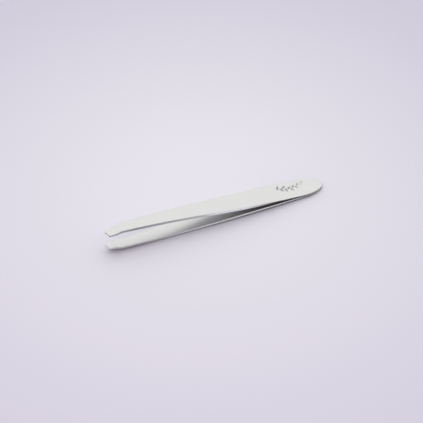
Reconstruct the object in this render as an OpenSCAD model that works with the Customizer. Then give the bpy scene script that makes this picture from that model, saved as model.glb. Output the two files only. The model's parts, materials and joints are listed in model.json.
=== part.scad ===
/* [Strips] */
// Length from the rounded head to the tips
length = 95; // [92:0.5:98]
// Thickness of each steel strip at the head
head_t = 0.65; // [0.55:0.05:0.75]
// Thickness of each steel strip on the grip
grip_t = 1.25; // [1.1:0.05:1.3]
// Thickness of each strip at its tip
tip_t = 0.6; // [0.5:0.05:0.8]
// Distance from the head where the strips start to thicken
thin_end = 14; // [12:0.5:16]
// Distance from the head where the strips reach their full thickness
thick_start = 46; // [42:0.5:50]

/* [Plan outline] */
// Greatest width, across the grip
body_w = 9.8; // [9:0.1:10.5]
// Length of the rounded head end
head_len = 11; // [9:0.5:13]
// Squareness of the head end, where 2 is an ellipse
head_power = 2.3; // [2:0.1:2.6]
// Distance from the head where the sides start to close in
taper_start = 19; // [16:0.5:22]
// Distance from the head where the sides become straight
taper_end = 50; // [45:0.5:55]
// Angle of each straight side to the centre line
taper_angle = 2.7; // [2.4:0.05:2.8]

/* [Slanted tip] */
// Angle of the slanted tip edge across the jaws
slant_angle = 21; // [15:1:27]
// Distance of the leading corner from the centre line
point_offset = 0.9; // [0.6:0.1:1.2]
// Length of the ground shoulder behind the leading corner
shoulder_len = 5; // [4:0.5:6]

/* [Spring shape] */
// Length of the welded zone, where the strips lie flat together
weld_len = 8.5; // [8.5:0.5:10]
// Distance from the head where the first bend ends
root_start = 13; // [12:0.5:15]
// Angle that each strip opens by at the first bend
root_angle = 2.4; // [2.2:0.05:2.6]
// Distance from the head where the second bend starts
root_end = 25; // [23:0.5:27]
// Distance from the head where the flank becomes straight
flank_start = 45; // [43:0.5:47]
// Distance from the head where the arms start to bow inward
flank_end = 60; // [56:0.5:64]
// Distance from the head to the widest point of the bow
bow_end = 86; // [84:0.5:87]
// Angle of each flank to the centre plane, after both bends
flank_angle = 4.3; // [4:0.05:4.6]
// Distance from the head where the jaw's joggle starts
joggle_start = 88.4; // [87.5:0.1:89]
// Length of the joggle
joggle_len = 3; // [2.5:0.1:3.5]
// Inward step of the joggle
joggle_step = 0.6; // [0.5:0.05:0.9]
// Inward slope of each jaw over its own length
jaw_step = 0.1; // [0:0.05:0.2]

/* [Flexure] */
// Distance from the head to the line that each arm turns about
pivot_at = 24; // [20:0.5:28]
// Radius of the seat between each arm and its root
seat_r = 2; // [1.5:0.1:3]
// Running clearance in that seat
seat_gap = 0.02; // [0.01:0.01:0.05]

/* [Welds] */
// Diameter of each weld nugget
nugget_d = 2.6; // [2:0.1:3]
// Depth of each nugget across both strips
nugget_h = 0.6; // [0.4:0.1:0.8]
// Distance from the head to the rear nugget
rear_nugget_at = 3.2; // [3:0.1:3.4]
// Distance from the head to the front nugget
front_nugget_at = 7; // [6.6:0.1:7.1]

/* [Hidden] */
$fn = 64;

// Slopes of the straight stretches, as rise over run
taper_slope = tan(taper_angle);
root_slope = tan(root_angle);
flank_slope = tan(flank_angle);
slant_slope = tan(slant_angle);

// Spacing of points on the long bends, on the joggle and round the head
bend_step = 3;
joggle_points = 8;
head_points = 16;

// Blocks that cut a strip are this much larger than it
reach = 20;

// Rise of a curve that eases from level into a slope between two places
function eased_rise(s, from, to, slope) =
    let (run = min(max(s - from, 0), to - from), past = max(s - to, 0))
    slope * (run * run / (to - from) / 2 + past);

// Half width of the outline at a distance from the head
function half_width(s) = body_w / 2 - eased_rise(s, taper_start, taper_end, taper_slope);

// Share of the joggle passed, easing in and out
function joggle_share(s) =
    let (u = min(max((s - joggle_start) / joggle_len, 0), 1))
    u * u * (3 - 2 * u);

// Share of the thickening passed, easing in and out
function thickening_share(s) =
    let (u = min(max((s - thin_end) / (thick_start - thin_end), 0), 1))
    u * u * (3 - 2 * u);

// Share of the jaw passed, from the joggle's end to the tip
function jaw_share(s) =
    let (start = joggle_start + joggle_len)
    max(s - start, 0) / (length - start);

// Distance from the centre plane to a strip's inner face
function inner_face(s) =
    eased_rise(s, weld_len, root_start, root_slope)
    + eased_rise(s, root_end, flank_start, flank_slope - root_slope)
    - eased_rise(s, flank_end, bow_end, flank_slope)
    - joggle_step * joggle_share(s)
    - jaw_step * jaw_share(s);

// Thickness of a strip, thin at the head and thinning again from the joggle to the tip
function thickness(s) =
    head_t
    + (grip_t - head_t) * thickening_share(s)
    - (grip_t - tip_t) * max(s - joggle_start, 0) / (length - joggle_start);

function outer_face(s) = inner_face(s) + thickness(s);

// Evenly spaced places between two places, without the last one
function places(from, to, spacing) =
    let (count = ceil((to - from) / spacing))
    [for (i = [0 : count - 1]) from + (to - from) * i / count];

function reversed(list) = [for (i = [len(list) - 1 : -1 : 0]) list[i]];

// Places along the strip where its side profile has a point
profile_places = concat(
    [0],
    places(weld_len, root_start, bend_step / 2),
    places(root_start, root_end, bend_step),
    places(root_end, thick_start, bend_step),
    [thick_start],
    places(flank_end, bow_end, bend_step),
    [bow_end],
    places(joggle_start, joggle_start + joggle_len, joggle_len / joggle_points),
    [joggle_start + joggle_len, length]
);

// Place where the slanted edge meets the straight near side
side_at_head = half_width(taper_end) + taper_slope * taper_end;
near_corner_at =
    (length - (point_offset + side_at_head) * slant_slope) / (1 - taper_slope * slant_slope);
shoulder_at = length - shoulder_len;

// One side of the rounded head, from its end to its full width
head_side = [
    for (i = [0 : head_points])
        let (turn = 90 * i / head_points)
        [
            head_len * (1 - pow(cos(turn), 2 / head_power)),
            body_w / 2 * pow(sin(turn), 2 / head_power)
        ]
];
taper_side = [
    for (s = concat(places(taper_start, taper_end, bend_step), [taper_end]))
        [s, half_width(s)]
];

// The sides of the outline; the far side carries the leading corner
far_side = concat(
    head_side,
    taper_side,
    [[shoulder_at, half_width(shoulder_at)], [length, point_offset]]
);
near_side = [
    for (p = concat(head_side, taper_side, [[near_corner_at, half_width(near_corner_at)]]))
        [p[0], -p[1]]
];

// The lying part touches the table at the head's edge and on the bow
lie_slope = max([for (s = [flank_end : 0.25 : length]) (outer_face(s) - head_t) / s]);
lie_angle = atan(lie_slope);
half_span = length * cos(lie_angle) / 2;

// Height of the turning line above the centre plane, at mid thickness
pivot_height = inner_face(pivot_at) + thickness(pivot_at) / 2;

// Turns the strips from their centre plane down onto the table, head to +X
module lie_on_table() {
    translate([half_span, 0, 0])
        rotate([0, lie_angle, 0])
            translate([0, 0, head_t])
                mirror([1, 0, 0])
                    children();
}

module side_profile() {
    rotate([90, 0, 0])
        linear_extrude(height = 2 * reach, center = true)
            polygon(concat(
                [for (s = profile_places) [s, inner_face(s)]],
                [for (s = reversed(profile_places)) [s, outer_face(s)]]
            ));
}

module plan_outline() {
    linear_extrude(height = 2 * reach, center = true)
        polygon(concat(far_side, reversed([for (i = [1 : len(near_side) - 1]) near_side[i]])));
}

// One complete strip, upper side of the centre plane
module strip() {
    intersection() {
        side_profile();
        plan_outline();
    }
}

// The head's side of the flexure, ending in a round seat about the turning line
module head_side_of_flexure(radius) {
    translate([-reach, -reach, -reach])
        cube([reach + pivot_at, 2 * reach, 2 * reach]);
    translate([pivot_at, 0, pivot_height])
        rotate([90, 0, 0])
            cylinder(r = radius, h = 2 * reach, center = true);
}

module nugget(place) {
    translate([place, 0, 0])
        cylinder(d = nugget_d, h = nugget_h, center = true);
}

// The welded end of a strip, with pockets that the nuggets fill
module strip_root() {
    difference() {
        intersection() {
            strip();
            head_side_of_flexure(seat_r);
        }
        nugget(front_nugget_at);
        nugget(rear_nugget_at);
    }
}

// The springy length of a strip, from the flexure to the tip
module strip_arm() {
    difference() {
        strip();
        head_side_of_flexure(seat_r + seat_gap);
    }
}

module upper_arm() {
    color("silver") lie_on_table() strip_arm();
}

module lower_arm() {
    color("lightsteelblue") lie_on_table() mirror([0, 0, 1]) strip_arm();
}

module upper_arm_root() {
    color("gainsboro") lie_on_table() strip_root();
}

module lower_arm_root() {
    color("lightgray") lie_on_table() mirror([0, 0, 1]) strip_root();
}

module front_weld_nugget() {
    color("dimgray") lie_on_table() nugget(front_nugget_at);
}

module rear_weld_nugget() {
    color("dimgray") lie_on_table() nugget(rear_nugget_at);
}

upper_arm();
lower_arm();
upper_arm_root();
lower_arm_root();
front_weld_nugget();
rear_weld_nugget();
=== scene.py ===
"""The looks of the slant tweezers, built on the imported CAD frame.

Each strip is one finished piece from its welded head to its slanted tip. It is worked out in strip
millimetres: s runs from the head's end to the tip, y across the strip and z away from the centre plane.
"""

import json
import math

import bpy
import numpy as np
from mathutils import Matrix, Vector
from mathutils.geometry import delaunay_2d_cdt


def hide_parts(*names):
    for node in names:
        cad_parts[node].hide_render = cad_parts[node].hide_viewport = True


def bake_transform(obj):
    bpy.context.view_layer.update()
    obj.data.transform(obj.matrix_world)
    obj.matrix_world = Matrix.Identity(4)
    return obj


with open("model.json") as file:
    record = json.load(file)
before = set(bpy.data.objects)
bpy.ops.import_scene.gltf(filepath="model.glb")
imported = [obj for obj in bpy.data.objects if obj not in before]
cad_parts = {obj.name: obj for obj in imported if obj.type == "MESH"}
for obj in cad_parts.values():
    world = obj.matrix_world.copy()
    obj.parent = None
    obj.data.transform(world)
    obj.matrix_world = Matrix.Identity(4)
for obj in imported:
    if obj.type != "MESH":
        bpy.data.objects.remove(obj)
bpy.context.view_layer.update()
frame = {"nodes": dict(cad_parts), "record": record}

MM = 0.001

# Sizes of the strips, the same as the CAD part's
LENGTH = 95.0
GRIP_T, TIP_T = 1.25, 0.6
THIN_END, THICK_START = 14.0, 46.0
BODY_W = 9.8
HEAD_LEN, HEAD_POWER = 11.0, 2.3
TAPER_START, TAPER_END, TAPER_SLOPE = 19.0, 50.0, math.tan(math.radians(2.7))
SLANT_SLOPE = math.tan(math.radians(21))
POINT_OFFSET, SHOULDER_LEN = 0.9, 5.0
WELD_LEN, ROOT_START, ROOT_END = 8.5, 13.0, 25.0
FLANK_START, FLANK_END, BOW_END = 45.0, 60.0, 86.0
ROOT_SLOPE, FLANK_SLOPE = math.tan(math.radians(2.4)), math.tan(math.radians(4.3))
JOGGLE_START, JOGGLE_LEN, JOGGLE_STEP, JAW_STEP = 88.4, 3.0, 0.6, 0.1
NUGGET_R, NUGGET_DEPTH, NUGGET_PLACES = 1.3, 0.3, (3.2, 7.0)

# Rounded edges, which the CAD part leaves out. Where a strip is thin, an edge takes only a share of its
# thickness. At the tip that radius and the margin together must stay under the corner radius.
OUTER_EDGE_R, OUTER_EDGE_SHARE = 0.28, 0.35
INNER_EDGE_R, INNER_EDGE_SHARE = 0.25, 0.3
EDGE_STEPS = 7
EDGE_MARGIN = 0.05
SHOULDER_R, CORNER_R, CORNER_STEPS = 4.0, 0.32, 8
HEAD_STEPS, TAPER_POINTS = 48, 32

# Spacing of mesh points along a strip and across its faces, on the body and on the jaw
JAW_MESH_START = JOGGLE_START - 1
BODY_SPACING, JAW_SPACING = 0.8, 0.2
BODY_ROWS, JAW_ROWS = 1.1, 0.5

# How far points on a face stay from its two ends and its sides, and the more that they stay away at the tip
END_CLEARANCE, SIDE_CLEARANCE, TIP_CLEARANCE = 1.0, 0.7, 0.3


# ---------------------------------------------------------------- shape of a strip


def eased_rise(s, start, end, slope):
    """Rise of a curve that eases from level into a slope between two places."""
    run = np.clip(s - start, 0, end - start)
    return slope * (run * run / (end - start) / 2 + np.maximum(s - end, 0))


def half_width(s):
    return BODY_W / 2 - eased_rise(s, TAPER_START, TAPER_END, TAPER_SLOPE)


def inner_face(s):
    """Distance from the centre plane to a strip's inner face."""
    u = np.clip((s - JOGGLE_START) / JOGGLE_LEN, 0, 1)
    jaw_start = JOGGLE_START + JOGGLE_LEN
    jaw_share = np.maximum(s - jaw_start, 0) / (LENGTH - jaw_start)
    return (
        eased_rise(s, WELD_LEN, ROOT_START, ROOT_SLOPE)
        + eased_rise(s, ROOT_END, FLANK_START, FLANK_SLOPE - ROOT_SLOPE)
        - eased_rise(s, FLANK_END, BOW_END, FLANK_SLOPE)
        - JOGGLE_STEP * u * u * (3 - 2 * u)
        - JAW_STEP * jaw_share
    )


def thickness(s):
    """Thickness of a strip: thin at the head, full on the grip and thinner again at the tip."""
    u = np.clip((s - THIN_END) / (THICK_START - THIN_END), 0, 1)
    jaw_share = np.maximum(s - JOGGLE_START, 0) / (LENGTH - JOGGLE_START)
    return HEAD_T + (GRIP_T - HEAD_T) * u * u * (3 - 2 * u) - (GRIP_T - TIP_T) * jaw_share


def outer_face(s):
    return inner_face(s) + thickness(s)


def edge_radius(s, outer):
    """Radius of the rounding between a strip's side wall and its outer or inner face."""
    radius, share = (OUTER_EDGE_R, OUTER_EDGE_SHARE) if outer else (INNER_EDGE_R, INNER_EDGE_SHARE)
    return np.minimum(radius, share * thickness(s))


# ---------------------------------------------------------------- place in the row frame

mounts = {m["name"]: m for m in frame["record"]["mounts"]}
top_of_head = Vector(mounts["head_top_face"]["pos_m"])
under_head = Vector(mounts["head_under_face"]["pos_m"])
UP = Vector(mounts["head_top_face"]["axis"]).normalized()
ALONG = Vector((-UP.z, 0, UP.x))
ACROSS = Vector((0, 1, 0))
middle_of_head = (top_of_head + under_head) / 2
root_points = frame["nodes"]["upper_arm_root"].data.vertices
head_reach = max((v.co - middle_of_head).dot(-ALONG) for v in root_points)
HEAD_END = middle_of_head - ALONG * head_reach
HEAD_T = (top_of_head - under_head).length / 2 / MM


def place(points, side):
    """Points in strip millimetres as row-frame metres, on the upper side (1) or the lower (-1)."""
    p = np.asarray(points, float) * MM
    axes = np.array([ALONG, ACROSS, UP * side])
    return p @ axes + np.array(HEAD_END)


def turned(vectors, side):
    """Directions in the strip's axes as row-frame directions."""
    return np.asarray(vectors, float) @ np.array([ALONG, ACROSS, UP * side])


# ---------------------------------------------------------------- outline


def head_side():
    """One side of the rounded head, from its end to its full width."""
    a = np.linspace(0, math.pi / 2, HEAD_STEPS + 1)
    s = HEAD_LEN * (1 - np.cos(a).clip(0) ** (2 / HEAD_POWER))
    y = BODY_W / 2 * np.sin(a) ** (2 / HEAD_POWER)
    return np.stack([s, y], 1)


def rounded(before, corner, after, radius):
    """Points of an arc that rounds a corner."""
    a, b, c = (np.array(p, float) for p in (before, corner, after))
    u, v = (a - b) / np.linalg.norm(a - b), (c - b) / np.linalg.norm(c - b)
    half = math.acos(float(np.clip(u @ v, -1, 1))) / 2
    bisector = (u + v) / np.linalg.norm(u + v)
    centre = b + bisector * radius / math.sin(half)
    first, last = b + u * radius / math.tan(half), b + v * radius / math.tan(half)
    e1 = (first - centre) / radius
    sweep = math.pi - 2 * half
    e2 = (last - centre) / radius
    side = (e2 - e1 * math.cos(sweep)) / math.sin(sweep)
    angles = np.linspace(0, sweep, CORNER_STEPS + 1)
    return [centre + radius * (e1 * math.cos(t) + side * math.sin(t)) for t in angles]


def by_place(s, on_body, on_jaw):
    """One of two values, for a place on a strip's body or on its jaw."""
    return on_jaw if s > JAW_MESH_START else on_body


def densified(loop):
    """The closed loop with its long segments cut into short ones."""
    out = []
    for a, b in zip(loop, np.roll(loop, -1, axis=0)):
        length = np.linalg.norm(b - a)
        gone = 0.0
        while gone < length:
            here = a + (b - a) * gone / length
            out.append(here)
            step = by_place(here[0], BODY_SPACING, JAW_SPACING)
            left = length - gone
            gone += left / math.ceil(left / step) if step < left else left
    return np.array(out)


def plan_outline():
    """The strip's outline as a closed loop, from the head's end along the far side."""
    side_at_head = half_width(TAPER_END) + TAPER_SLOPE * TAPER_END
    near_at = (LENGTH - (POINT_OFFSET + side_at_head) * SLANT_SLOPE) / (1 - TAPER_SLOPE * SLANT_SLOPE)
    shoulder_at = LENGTH - SHOULDER_LEN
    shoulder = (shoulder_at, half_width(shoulder_at))
    point = (LENGTH, POINT_OFFSET)
    near_corner = (near_at, -half_width(near_at))
    head = head_side()
    taper = [(s, half_width(s)) for s in np.linspace(TAPER_START, TAPER_END, TAPER_POINTS)]
    far = [*head, *taper, *rounded(taper[-1], shoulder, point, SHOULDER_R)]
    tip = [
        *rounded(shoulder, point, near_corner, CORNER_R),
        *rounded(point, near_corner, (TAPER_END, -half_width(TAPER_END)), CORNER_R),
    ]
    near = [(s, -y) for s, y in reversed([*head[1:], *taper])]
    return densified(np.array([*far, *tip, *near]))


def enclosed_area(loop):
    """Area inside a closed loop, positive when it runs anticlockwise."""
    ahead = np.roll(loop, -1, axis=0)
    return np.sum(loop[:, 0] * ahead[:, 1] - ahead[:, 0] * loop[:, 1]) / 2


def outward(loop):
    """Outward normals of a closed loop that runs anticlockwise or clockwise."""
    ahead, behind = np.roll(loop, -1, axis=0), np.roll(loop, 1, axis=0)
    tangent = ahead - behind
    normal = np.stack([tangent[:, 1], -tangent[:, 0]], 1)
    normal /= np.linalg.norm(normal, axis=1)[:, None]
    return normal * math.copysign(1, enclosed_area(loop))


# ---------------------------------------------------------------- etched ornament

ORNAMENT_START, ORNAMENT_END, ORNAMENT_Y = 7.6, 20.6, 1.1
STEM_WAVE, STEM_WAVES, STEM_SHARE = 0.5, 1.5, 0.9
LEAF_COUNT, FIRST_LEAF_AT, LEAF_GAP = 9, 0.05, 0.088
LEAF_LEN, LEAF_SHRINK, LEAF_WIDTH, LEAF_CURVE, LEAF_TURN = 2.6, 0.11, 0.36, 0.12, 0.85
CURL_OUTER_R, CURL_INNER_R, CURL_SWEEP = 0.8, 0.3, 1.7 * math.pi
BERRY_R, BERRY_STEP = 0.27, (0.1, 1.7)

# Greatest and least width of the sprig's two strokes
STEM_STROKE, CURL_STROKE = (0.24, 0.08), (0.2, 0.07)


def circle(centre, radius, count=40):
    a = np.linspace(0, 2 * math.pi, count, endpoint=False)
    return np.array(centre) + radius * np.stack([np.cos(a), np.sin(a)], 1)


def ribbon(line, width):
    """Outline of a stroke along a line; width gives its full width from its share of the way."""
    line = np.array(line, float)
    tangent = np.gradient(line, axis=0)
    normal = np.stack([-tangent[:, 1], tangent[:, 0]], 1)
    normal /= np.linalg.norm(normal, axis=1)[:, None]
    half = np.array([width(u) for u in np.linspace(0, 1, len(line))])[:, None] / 2
    return np.concatenate([line + normal * half, (line - normal * half)[::-1]])


def tapered(width, least):
    """Width of a stroke that swells from its least in the middle."""
    return lambda u: least + (width - least) * math.sin(math.pi * u) ** 0.6


def leaf(base, angle, length, width):
    """Outline of one pointed leaf."""
    u = np.linspace(0, 1, 13)
    half = width / 2 * np.sin(math.pi * u ** 0.85)
    along = np.concatenate([u, u[::-1][1:-1]]) * length
    across = np.concatenate([half, -half[::-1][1:-1]]) + LEAF_CURVE * length * (along / length) ** 2
    c, s = math.cos(angle), math.sin(angle)
    return np.stack([base[0] + along * c - across * s, base[1] + along * s + across * c], 1)


def stem_at(u):
    """The place on the sprig's waved stem at a share of its way toward the head."""
    s = ORNAMENT_END - u * (ORNAMENT_END - ORNAMENT_START)
    return np.array([s, ORNAMENT_Y + STEM_WAVE * math.sin(2 * math.pi * u * STEM_WAVES)])


def sprig():
    """The strokes of a sprig ornament: a waved stem, leaves on both sides, a curl and a berry."""
    stem = [stem_at(u) for u in np.linspace(0.0, STEM_SHARE, 60)]
    strokes = [ribbon(stem, tapered(*STEM_STROKE))]
    for i in range(LEAF_COUNT):
        u = FIRST_LEAF_AT + LEAF_GAP * i
        base, ahead = stem_at(u), stem_at(u + 0.01)
        heading = math.atan2(ahead[1] - base[1], ahead[0] - base[0])
        side = 1 if i % 2 else -1
        size = LEAF_LEN - LEAF_SHRINK * i
        strokes.append(leaf(base, heading + side * LEAF_TURN, size, LEAF_WIDTH * size))
    centre = stem_at(STEM_SHARE) + np.array([0.0, CURL_OUTER_R])
    turns = np.linspace(0, CURL_SWEEP, 30)
    radius = np.linspace(CURL_OUTER_R, CURL_INNER_R, 30)
    curl = [centre + r * np.array([-math.sin(t), -math.cos(t)]) for t, r in zip(turns, radius)]
    strokes.append(ribbon(curl, tapered(*CURL_STROKE)))
    strokes.append(circle(stem_at(1.0) + np.array(BERRY_STEP), BERRY_R, 16))
    return strokes


# ---------------------------------------------------------------- strip mesh


class StripMesh:
    """Vertices in strip millimetres with their normals and edge angles, and faces with a material each.

    An edge angle is 0 on the side wall and a quarter turn on the face. It is kept positive round the outer
    edge and negative round the inner one, minus zero included.
    """

    def __init__(self):
        self.points, self.normals, self.angles = [], [], []
        self.faces, self.materials, self.face_normals = [], [], []

    def add(self, points, normals, angle=math.pi / 2):
        start = len(self.points)
        self.points += list(points)
        self.normals += list(normals)
        self.angles += [angle] * len(points)
        return list(range(start, len(self.points)))

    def face(self, corners, material=0, normals=None):
        """A face, turned so that it looks the way its normals do."""
        normals = [self.normals[i] for i in corners] if normals is None else normals
        a, b, c = (np.array(self.points[i]) for i in corners[:3])
        if np.cross(b - a, c - a) @ np.sum(normals, axis=0) < 0:
            corners, normals = corners[::-1], normals[::-1]
        self.faces.append(list(corners))
        self.materials.append(material)
        self.face_normals.append(list(normals))

    def bridge(self, lower, upper):
        """Quads between two closed rings of the same length."""
        count = len(lower)
        for i in range(count):
            j = (i + 1) % count
            self.face([lower[i], lower[j], upper[j], upper[i]])


def face_height(s, outer):
    return outer_face(s) if outer else inner_face(s)


def face_normals(s, outer):
    """Normals of the outer or inner face, pointing out of the metal."""
    step = 0.01
    rise = (face_height(s + step, outer) - face_height(s - step, outer)) / (2 * step)
    sign = 1 if outer else -1
    n = np.stack([-rise * sign, np.zeros_like(rise), np.full_like(rise, sign)], 1)
    return n / np.linalg.norm(n, axis=1)[:, None]


def edge_ring(mesh, loop, normals, outer, angle, margin=0.0):
    """One ring of the rounded edge, at an angle from the side wall toward the face."""
    radius = edge_radius(loop[:, 0], outer)
    inset = radius * (1 - math.cos(angle)) + margin
    flat = loop - normals * inset[:, None]
    drop = radius * (1 - math.sin(angle))
    z = face_height(flat[:, 0], outer) + (-drop if outer else drop)
    wall = np.column_stack([normals, np.zeros(len(loop))])
    n = wall * math.cos(angle) + face_normals(flat[:, 0], outer) * math.sin(angle)
    n /= np.linalg.norm(n, axis=1)[:, None]
    return mesh.add(np.column_stack([flat, z]), n, angle if outer else -angle)


def inside_points():
    """Points spread over a face, clear of its edge."""
    out = []
    s = END_CLEARANCE
    while s < LENGTH - END_CLEARANCE:
        width = float(half_width(s)) if s > HEAD_LEN else float(np.interp(s, *head_side().T))
        if s > LENGTH - SHOULDER_LEN:
            share = (s - LENGTH + SHOULDER_LEN) / SHOULDER_LEN
            width -= share * (width - POINT_OFFSET) + TIP_CLEARANCE
        clear = width - SIDE_CLEARANCE
        rows = max(1, int(2 * clear / by_place(s, BODY_ROWS, JAW_ROWS)))
        out += [(s, y) for y in np.linspace(-clear, clear, rows + 1)]
        s += by_place(s, BODY_SPACING, JAW_SPACING)
    return out


def fill_face(mesh, ring, outer, marks=(), pockets=()):
    """Fills the flat of a face inside its edge ring.

    Marks get the second material, and pockets are sunk round holes.
    """
    border = np.array([mesh.points[i][:2] for i in ring])
    points, areas = [], []
    for shape in [border, *marks, *pockets]:
        corners = list(range(len(points), len(points) + len(shape)))
        areas.append(corners if enclosed_area(shape) > 0 else corners[::-1])
        points += list(shape)
    points = [Vector(p) for p in [*points, *inside_points()]]
    # Triangles inside the border; each vertex keeps the points that it came from, and each triangle its areas
    verts, _, tris, origin, _, areas_of = delaunay_2d_cdt(points, [], areas, 1, 1e-6, True)
    flat = np.array([tuple(v) for v in verts])
    first_pocket = 1 + len(marks)
    kept = [
        (tri, any(0 < a < first_pocket for a in found))
        for tri, found in zip(tris, areas_of)
        if 0 in found and not any(a >= first_pocket for a in found)
    ]
    used = {i for tri, _ in kept for i in tri}
    index = [next((ring[i] for i in o if i < len(ring)), None) for o in origin]
    fresh = [i for i, known in enumerate(index) if known is None and i in used]
    s = flat[fresh, 0]
    added = mesh.add(np.column_stack([flat[fresh], face_height(s, outer)]), face_normals(s, outer))
    for i, new in zip(fresh, added):
        index[i] = new
    for tri, marked in kept:
        mesh.face([index[i] for i in tri], 1 if marked else 0)
    for p, shape in enumerate(pockets):
        own = set(areas[first_pocket + p])
        rim = [next(index[i] for i, o in enumerate(origin) if k in o) for k in sorted(own)]
        sink_pocket(mesh, rim, shape)


def sink_pocket(mesh, rim, shape):
    """The wall and floor of a round pocket in the inner face."""
    centre = shape.mean(axis=0)
    inward = (centre - shape) / np.linalg.norm(shape - centre, axis=1)[:, None]
    wall = np.column_stack([inward, np.zeros(len(shape))])
    floor_normal = np.array([0, 0, -1.0])
    deep = np.array([mesh.points[i] for i in rim]) + np.array([0, 0, NUGGET_DEPTH])
    floor = mesh.add(deep, [floor_normal] * len(rim))
    for i in range(len(rim)):
        j = (i + 1) % len(rim)
        mesh.face([rim[i], rim[j], floor[j], floor[i]], normals=[wall[i], wall[j], wall[j], wall[i]])
    mesh.face(floor)


def strip_object(name, side, marks, materials):
    """One whole strip as a finished object."""
    mesh = StripMesh()
    loop = plan_outline()
    normals = outward(loop)
    angles = np.linspace(0, math.pi / 2, EDGE_STEPS + 1)
    inner = [edge_ring(mesh, loop, normals, False, a) for a in reversed(angles)]
    outer = [edge_ring(mesh, loop, normals, True, a) for a in angles]
    inner.insert(0, edge_ring(mesh, loop, normals, False, math.pi / 2, EDGE_MARGIN))
    outer.append(edge_ring(mesh, loop, normals, True, math.pi / 2, EDGE_MARGIN))
    rings = [*inner, *outer]
    for lower, upper in zip(rings, rings[1:]):
        mesh.bridge(lower, upper)
    pockets = [circle((s, 0.0), NUGGET_R) for s in NUGGET_PLACES]
    fill_face(mesh, rings[0], False, pockets=pockets)
    fill_face(mesh, rings[-1], True, marks=marks)
    return finished(name, mesh, side, materials)


# Where a strip's side walls turn darker: each fade runs from one place to another, by an amount
UPPER_WALL_FADES = ((36, 24, 1.0), (14, 9, -0.3), (50, 56, 0.42), (60, 82, 0.25), (84, 88, -0.12))
LOWER_WALL_FADES = ((15, 10, 0.65), (55, 85, 0.35))

# Painted shade on the lower strip's edge over the table, standing in for the contact shadow beneath it: on
# its wall and more so halfway round
CONTACT_SHADE_FADES = ((8, 16, 1.0),)
CONTACT_SHADE_WALL, CONTACT_SHADE_ROUND = 0.4, 1.3


def faded(s, fades):
    """Sum of the fades at places along a strip."""
    return sum(amount * np.clip((s - start) / (end - start), 0, 1) for start, end, amount in fades)


def darkening_and_shade(s, side, angles):
    """How dark a strip's edges are made, along it and round each edge, where 0 is polished and 1 dark: walls
    darker at places along the strip, and painted shade for the contact shadow on the lower strip's edge over
    the table.
    """
    if side > 0:
        return np.cos(angles) * faded(s, UPPER_WALL_FADES)
    # Painted shade: the lower strip's outer edge is darkened where it stands over the contact shadow on the
    # table
    contact_shade_profile = CONTACT_SHADE_WALL * np.cos(angles) + CONTACT_SHADE_ROUND * np.sin(2 * angles)
    under = np.where(np.signbit(angles), 0, contact_shade_profile).clip(0, 1) * faded(s, CONTACT_SHADE_FADES)
    return np.maximum(np.cos(angles) * faded(s, LOWER_WALL_FADES), under)


def keep_values(data, name, values):
    """One number for each vertex, for the materials to read."""
    kept = data.attributes.new(name, "FLOAT", "POINT")
    kept.data.foreach_set("value", values.astype(np.float32))


def finished(name, strip, side, materials):
    """The Blender object of a strip mesh, in place in the row frame."""
    points = np.array(strip.points)
    faces, corner_normals = strip.faces, strip.face_normals
    if side > 0:
        faces = [f[::-1] for f in faces]
        corner_normals = [n[::-1] for n in corner_normals]
    data = bpy.data.meshes.new(name)
    data.from_pydata([tuple(p) for p in place(points, side)], [], faces)
    data.polygons.foreach_set("material_index", strip.materials)
    data.polygons.foreach_set("use_smooth", [True] * len(faces))
    coords = data.attributes.new("strip", "FLOAT_VECTOR", "POINT")
    coords.data.foreach_set("vector", points.astype(np.float32).ravel())
    angles = np.array(strip.angles)
    keep_values(data, "worn", np.abs(np.sin(2 * angles)))
    # Darker walls, and painted shade for the contact shadow on the lower strip's edge over the table
    keep_values(data, "dark_and_shade", darkening_and_shade(points[:, 0], side, angles))
    keep_values(data, "wall", np.cos(angles))
    for m in materials:
        data.materials.append(m)
    data.update()
    flat = turned([n for corners in corner_normals for n in corners], side)
    data.normals_split_custom_set([tuple(n) for n in flat])
    obj = bpy.data.objects.new(name, data)
    bpy.context.scene.collection.objects.link(obj)
    return obj


# ---------------------------------------------------------------- materials

STEEL_DARK, STEEL_LIGHT = (0.51, 0.51, 0.51), (0.595, 0.595, 0.595)
# The second colour darkens walls and paints the shade of the contact shadow on the lower strip's edge
WALL_STEEL, DARK_AND_SHADE_STEEL = (0.97, 0.96, 0.97), (0.07, 0.065, 0.07)
ETCHED_DARK, ETCHED_LIGHT = (0.20, 0.20, 0.205), (0.36, 0.36, 0.365)
WELD_DARK, WELD_LIGHT = (0.30, 0.29, 0.28), (0.52, 0.50, 0.48)
# The last card colour is painted shade: the card is darkened away from its centre, standing in for light
# falling off there
CARD_DARK, CARD_LIGHT, CARD_FAR_SHADE = (0.685, 0.695, 0.725), (0.72, 0.73, 0.76), (0.565, 0.555, 0.63)
CARD_SHADE_REACH = 0.19

# Roughness of the steel, and what its grain, its clouding and its polished edges change in it
ROUGH, GRAIN_ROUGH, CLOUD_ROUGH, EDGE_POLISH = 0.25, 0.13, 0.05, 0.08
CLOUD_TONE = 0.4
GRAIN_DEPTH, GRAIN_STRENGTH = 0.002 * MM, 0.6

# How many times a millimetre each finish varies, along the strip, across it and through it
GRAIN_STRETCH, JAW_STRETCH = (0.12, 7.0, 7.0), (14.0, 0.5, 0.5)
CLOUD_STRETCH, SPECKLE_STRETCH = (0.09, 0.25, 0.25), (18.0, 18.0, 18.0)

# Where the grain along the strip gives way to the cross-ground finish of the jaw
JAW_FINISH_START, JAW_FINISH_END = JOGGLE_START + 2.2, JOGGLE_START + 3.2


def new_material(name):
    """A node material with its tree and its Principled shader."""
    m = bpy.data.materials.new(name)
    m.use_nodes = True
    tree = m.node_tree
    return m, tree, tree.nodes["Principled BSDF"]


def attribute(tree, name):
    """A node that reads one of the values kept on a strip's vertices."""
    node = tree.nodes.new("ShaderNodeAttribute")
    node.attribute_name = name
    return node


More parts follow.
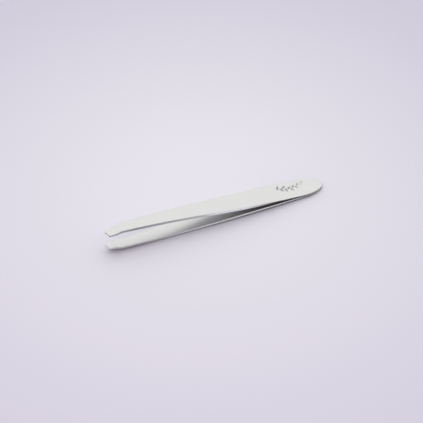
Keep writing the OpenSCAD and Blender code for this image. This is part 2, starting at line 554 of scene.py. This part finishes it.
def stretched_noise(tree, coords, stretch, detail=2.0, roughness=0.6):
    """Noise over the given coordinates, stretched by a scale for each axis."""
    mapping = tree.nodes.new("ShaderNodeMapping")
    mapping.inputs["Scale"].default_value = stretch
    tree.links.new(coords, mapping.inputs["Vector"])
    noise = tree.nodes.new("ShaderNodeTexNoise")
    noise.inputs["Scale"].default_value = 1.0
    noise.inputs["Detail"].default_value = detail
    noise.inputs["Roughness"].default_value = roughness
    tree.links.new(mapping.outputs["Vector"], noise.inputs["Vector"])
    return noise.outputs["Fac"]


def ranged(tree, value, low, high, start=0.0, end=1.0):
    """A value mapped from its own range onto another, smoothly."""
    node = tree.nodes.new("ShaderNodeMapRange")
    node.interpolation_type = "SMOOTHSTEP"
    node.inputs["From Min"].default_value = low
    node.inputs["From Max"].default_value = high
    node.inputs["To Min"].default_value = start
    node.inputs["To Max"].default_value = end
    tree.links.new(value, node.inputs["Value"])
    return node.outputs["Result"]


def feed(tree, socket, value):
    """Gives a socket a plain number or another node's output."""
    if isinstance(value, (int, float)):
        socket.default_value = value
    else:
        tree.links.new(value, socket)


def maths(tree, operation, a, b):
    """The result of one operation on two numbers or outputs."""
    node = tree.nodes.new("ShaderNodeMath")
    node.operation = operation
    feed(tree, node.inputs[0], a)
    feed(tree, node.inputs[1], b)
    return node.outputs["Value"]


def mixed(tree, share, a, b):
    """One value fading into another."""
    node = tree.nodes.new("ShaderNodeMix")
    tree.links.new(share, node.inputs["Factor"])
    feed(tree, node.inputs["A"], a)
    feed(tree, node.inputs["B"], b)
    return node.outputs["Result"]


def mixed_colour(tree, share, a, b, blend="MIX"):
    """A colour fading into a constant one, or into its product with it."""
    node = tree.nodes.new("ShaderNodeMix")
    node.data_type = "RGBA"
    node.blend_type = blend
    tree.links.new(share, node.inputs["Factor"])
    tree.links.new(a, node.inputs["A"])
    node.inputs["B"].default_value = (*b, 1)
    return node.outputs["Result"]


def tinted(tree, share, dark, light):
    """A colour between a dark and a light one."""
    ramp = tree.nodes.new("ShaderNodeValToRGB")
    ramp.color_ramp.elements[0].color = (*dark, 1)
    ramp.color_ramp.elements[1].color = (*light, 1)
    tree.links.new(share, ramp.inputs["Fac"])
    return ramp.outputs["Color"]


def satin_steel():
    """Satin stainless steel: grain along the strip, edges polished or darker, painted contact shade on the
    lower strip's edge over the table, and cross-ground jaws.
    """
    m, tree, shader = new_material("satin_steel")
    coords = attribute(tree, "strip").outputs["Vector"]
    worn = attribute(tree, "worn").outputs["Fac"]
    dark_and_shade = attribute(tree, "dark_and_shade").outputs["Fac"]
    wall = attribute(tree, "wall").outputs["Fac"]
    split = tree.nodes.new("ShaderNodeSeparateXYZ")
    tree.links.new(coords, split.inputs["Vector"])
    grain = stretched_noise(tree, coords, GRAIN_STRETCH, 3.0, 0.65)
    jaw_grain = stretched_noise(tree, coords, JAW_STRETCH)
    cloud = stretched_noise(tree, coords, CLOUD_STRETCH)
    on_jaw = ranged(tree, split.outputs["X"], JAW_FINISH_START, JAW_FINISH_END)
    finish = mixed(tree, on_jaw, grain, jaw_grain)
    rough = maths(tree, "ADD", ROUGH, maths(tree, "MULTIPLY", finish, GRAIN_ROUGH))
    rough = maths(tree, "ADD", rough, maths(tree, "MULTIPLY", cloud, CLOUD_ROUGH))
    rough = maths(tree, "SUBTRACT", rough, maths(tree, "MULTIPLY", worn, EDGE_POLISH))
    tree.links.new(rough, shader.inputs["Roughness"])
    tone = mixed(tree, maths(tree, "MULTIPLY", cloud, CLOUD_TONE), grain, cloud)
    edged = mixed_colour(tree, wall, tinted(tree, tone, STEEL_DARK, STEEL_LIGHT), WALL_STEEL)
    # Walls darker at places, and painted shade for the contact shadow on the lower strip's edge
    tree.links.new(mixed_colour(tree, dark_and_shade, edged, DARK_AND_SHADE_STEEL), shader.inputs["Base Color"])
    shader.inputs["Metallic"].default_value = 1.0
    bump = tree.nodes.new("ShaderNodeBump")
    bump.inputs["Strength"].default_value = GRAIN_STRENGTH
    bump.inputs["Distance"].default_value = GRAIN_DEPTH
    tree.links.new(finish, bump.inputs["Height"])
    tree.links.new(bump.outputs["Normal"], shader.inputs["Normal"])
    return m


def etched_steel():
    """Steel darkened and dulled by the etching of the ornament."""
    m, tree, shader = new_material("etched_steel")
    coords = attribute(tree, "strip").outputs["Vector"]
    speckle = stretched_noise(tree, coords, SPECKLE_STRETCH)
    tree.links.new(tinted(tree, speckle, ETCHED_DARK, ETCHED_LIGHT), shader.inputs["Base Color"])
    tree.links.new(ranged(tree, speckle, 0.2, 0.8, 0.5, 0.68), shader.inputs["Roughness"])
    shader.inputs["Metallic"].default_value = 0.7
    return m


def weld_steel():
    """Dull, slightly warm grey metal fused between the strips."""
    m, tree, shader = new_material("weld_steel")
    coords = tree.nodes.new("ShaderNodeTexCoord").outputs["Object"]
    mottle = stretched_noise(tree, coords, (2500.0, 2500.0, 2500.0), 3.0)
    tree.links.new(tinted(tree, mottle, WELD_DARK, WELD_LIGHT), shader.inputs["Base Color"])
    tree.links.new(ranged(tree, mottle, 0.2, 0.8, 0.42, 0.62), shader.inputs["Roughness"])
    shader.inputs["Metallic"].default_value = 1.0
    return m


def studio_card():
    """Pale lilac card under the tweezers, with painted shade darkening it away from its centre."""
    m, tree, shader = new_material("studio_card")
    coords = tree.nodes.new("ShaderNodeTexCoord").outputs["Object"]
    fibre = stretched_noise(tree, coords, (900.0, 900.0, 900.0), 3.0)
    reach = tree.nodes.new("ShaderNodeVectorMath")
    reach.operation = "LENGTH"
    tree.links.new(coords, reach.inputs[0])
    # Painted shade: the card darkens with distance from its centre
    painted_shade_share = ranged(tree, reach.outputs["Value"], 0.0, CARD_SHADE_REACH)
    pale = tinted(tree, fibre, CARD_DARK, CARD_LIGHT)
    tree.links.new(mixed_colour(tree, painted_shade_share, pale, CARD_FAR_SHADE), shader.inputs["Base Color"])
    shader.inputs["Roughness"].default_value = 0.9
    shader.inputs["Specular IOR Level"].default_value = 0.2
    return m


# ---------------------------------------------------------------- the tweezers

steel, etched, weld = satin_steel(), etched_steel(), weld_steel()

for arm, side, marks in (("upper_arm", 1, sprig()), ("lower_arm", -1, [])):
    piece = strip_object(arm.replace("arm", "strip"), side, marks, [steel, etched])
    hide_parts(arm, arm + "_root")
    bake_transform(piece)

for nugget in ("front_weld_nugget", "rear_weld_nugget"):
    frame["nodes"][nugget].data.materials.clear()
    frame["nodes"][nugget].data.materials.append(weld)

# ---------------------------------------------------------------- studio

# The card's colour is painted darker away from its centre, a painted shade for the light falling off toward
# its edges
CARD_R, CARD_CENTRE = 1.5, (0, 0.018, 0)

# Each light's place, its width, its power and its colour
KEY_LIGHT = ((0.05, 0.15, 0.50), 0.5, 0.32, (0.93, 1.0, 0.90))
FILL_LIGHT = ((-0.16, -0.22, 0.50), 0.5, 0.37, (1.0, 0.70, 1.0))

# The room: where its glow lies and how it fades away from there, its dim and bright colours, the heights
# between which its horizon brightens and by how much, the tint of what it sheds on dull surfaces, and the
# plain wall that is seen directly
GLOW_FROM, GLOW_FADED, GLOW_FULL = (0.25, 0.62, 0.74), -0.05, 0.8
ROOM_DIM, ROOM_BRIGHT = (0.15, 0.14, 0.155), (1.37, 1.37, 1.36)
HORIZON_TOP, HORIZON_FULL, HORIZON_GLOW = 0.5, 0.05, 0.62
SHED_TINT, PLAIN_WALL = (1.0, 0.967, 1.01), (0.75, 0.73, 0.80)

AZIMUTH, ELEVATION = math.radians(-23.34), math.radians(46.23)
CAMERA_AWAY, CAMERA_AIM = 405.5 * MM, Vector((-1.5, 2.18, 1.4)) * MM
LENS_MM, SENSOR_MM = 85, 36


def floor():
    """A wide round card with its top at the table's height."""
    bpy.ops.mesh.primitive_circle_add(vertices=96, radius=CARD_R, fill_type="NGON", location=CARD_CENTRE)
    card = bpy.context.object
    card.name = "card"
    card.data.materials.append(studio_card())


def soft_light(name, place_m, size, energy, colour):
    """A wide round light aimed at the tweezers, kept out of their reflections."""
    data = bpy.data.lights.new(name, "AREA")
    data.shape = "DISK"
    data.size = size
    data.energy = energy
    data.color = colour
    lamp = bpy.data.objects.new(name, data)
    lamp.location = place_m
    lamp.visible_glossy = False
    lamp.rotation_mode = "QUATERNION"
    lamp.rotation_quaternion = Vector(place_m).to_track_quat("Z", "Y")
    bpy.context.scene.collection.objects.link(lamp)


def surroundings():
    """A room that is bright above and behind the tweezers, and dim in front of them."""
    world = bpy.data.worlds.new("studio")
    world.use_nodes = True
    tree = world.node_tree
    direction = tree.nodes.new("ShaderNodeTexCoord").outputs["Generated"]
    facing = tree.nodes.new("ShaderNodeVectorMath")
    facing.operation = "DOT_PRODUCT"
    facing.inputs[1].default_value = GLOW_FROM
    tree.links.new(direction, facing.inputs[0])
    glow = ranged(tree, facing.outputs["Value"], GLOW_FADED, GLOW_FULL)
    height = tree.nodes.new("ShaderNodeSeparateXYZ")
    tree.links.new(direction, height.inputs["Vector"])
    horizon = ranged(tree, height.outputs["Z"], HORIZON_TOP, HORIZON_FULL, 0.0, HORIZON_GLOW)
    room = tinted(tree, maths(tree, "MAXIMUM", glow, horizon), ROOM_DIM, ROOM_BRIGHT)
    path = tree.nodes.new("ShaderNodeLightPath")
    shed = mixed_colour(tree, path.outputs["Is Diffuse Ray"], room, SHED_TINT, "MULTIPLY")
    seen = mixed_colour(tree, path.outputs["Is Camera Ray"], shed, PLAIN_WALL)
    tree.links.new(seen, tree.nodes["Background"].inputs["Color"])
    bpy.context.scene.world = world


def camera():
    """A viewpoint well above the table, with the head to the right and further away."""
    level = math.cos(ELEVATION)
    back = Vector((math.sin(AZIMUTH) * level, -math.cos(AZIMUTH) * level, math.sin(ELEVATION)))
    data = bpy.data.cameras.new("camera")
    data.lens, data.sensor_width = LENS_MM, SENSOR_MM
    data.clip_start, data.clip_end = 0.01, 10
    eye = bpy.data.objects.new("camera", data)
    eye.location = CAMERA_AIM + back * CAMERA_AWAY
    eye.rotation_mode = "QUATERNION"
    eye.rotation_quaternion = back.to_track_quat("Z", "Y")
    bpy.context.scene.collection.objects.link(eye)
    bpy.context.scene.camera = eye


floor()
soft_light("key_light", *KEY_LIGHT)
soft_light("fill_light", *FILL_LIGHT)
surroundings()
camera()
bpy.context.scene.view_settings.view_transform = "Standard"
